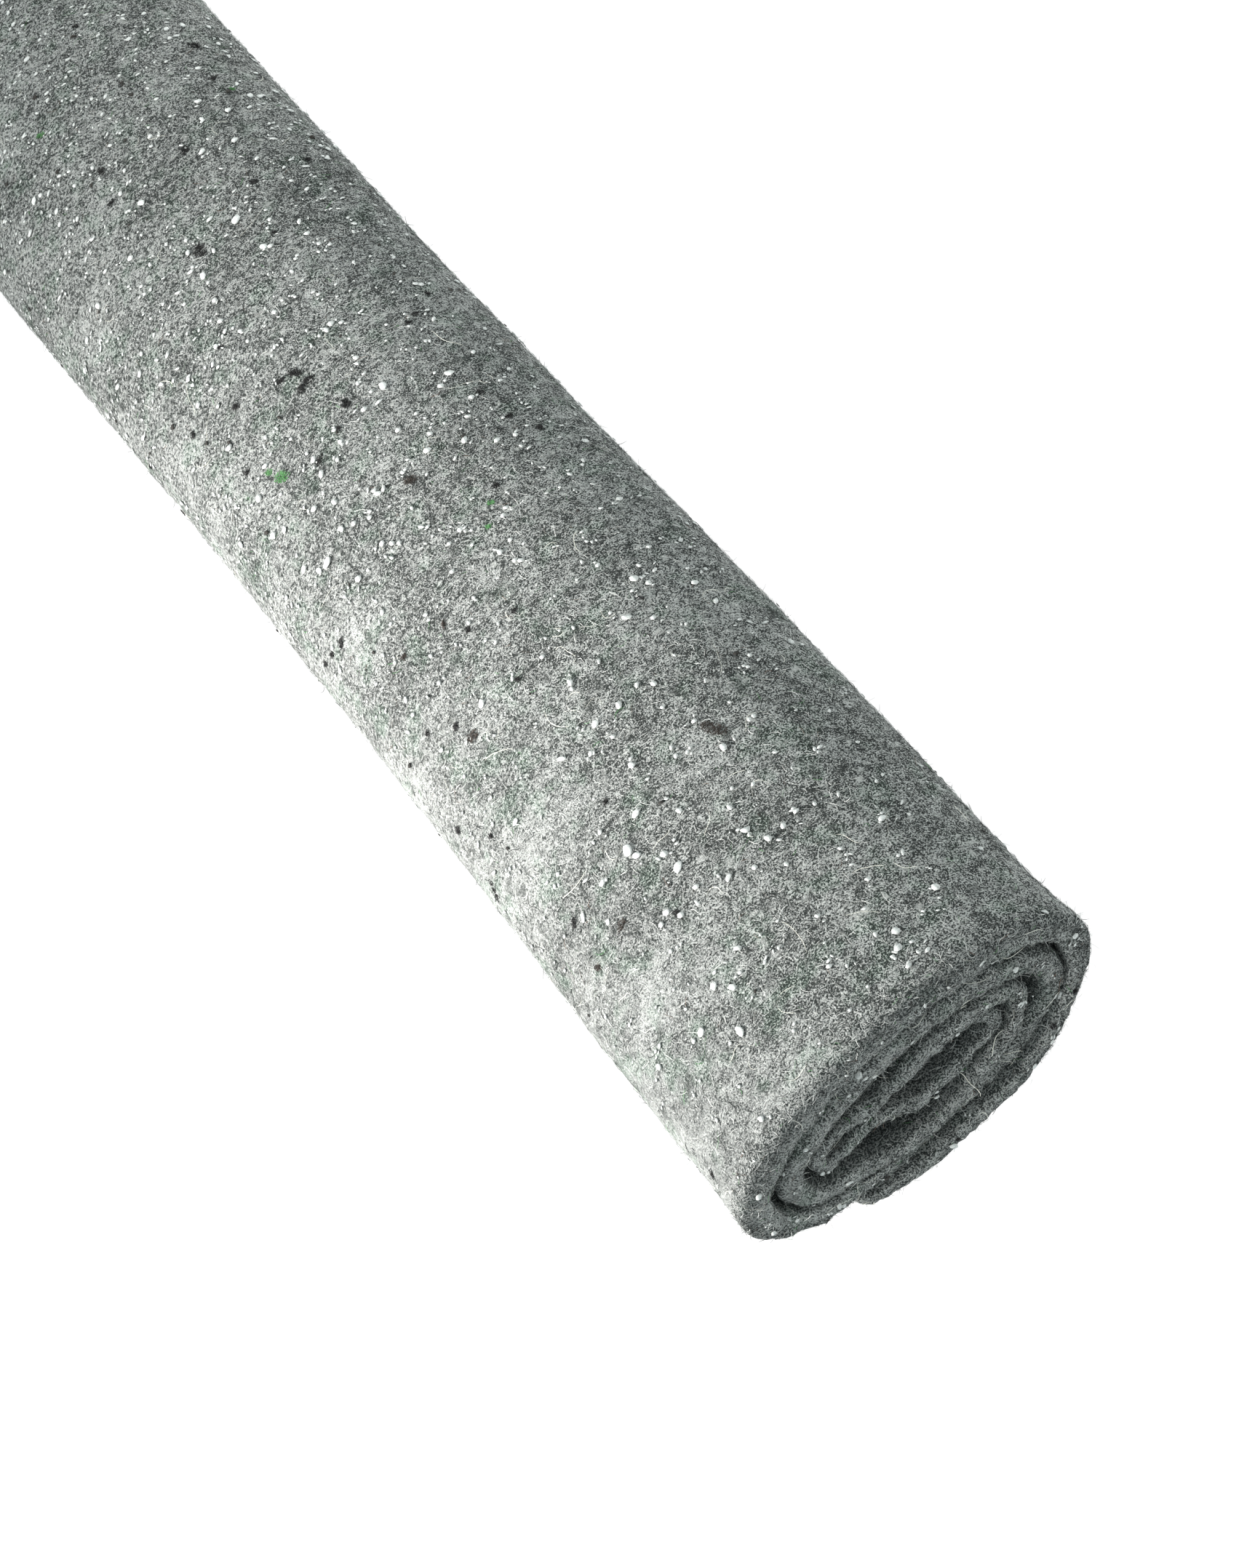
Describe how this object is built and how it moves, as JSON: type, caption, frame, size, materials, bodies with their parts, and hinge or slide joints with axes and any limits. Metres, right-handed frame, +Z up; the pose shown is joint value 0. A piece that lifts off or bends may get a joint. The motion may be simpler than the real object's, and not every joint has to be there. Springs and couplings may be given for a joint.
{
  "type": "roll of batting",
  "caption": "Flattened roll of thick grey needled batting, a fibre sheet wound loosely into a spiral with a crumpled core and a free end tucked underneath.",
  "frame": {"origin": "centre of the roll's footprint, on the ground that it lies on", "axes": "+Y along the roll, away from the end whose spiral shows; +X across it; +Z up"},
  "size_m": [0.1724, 1, 0.0996],
  "materials": {
    "grey_fibre_felt": "matt, fuzzy, flecked grey fibre"
  },
  "bodies": {
    "root": {"batting_sheet": "grey_fibre_felt"}
  },
  "joints": []
}
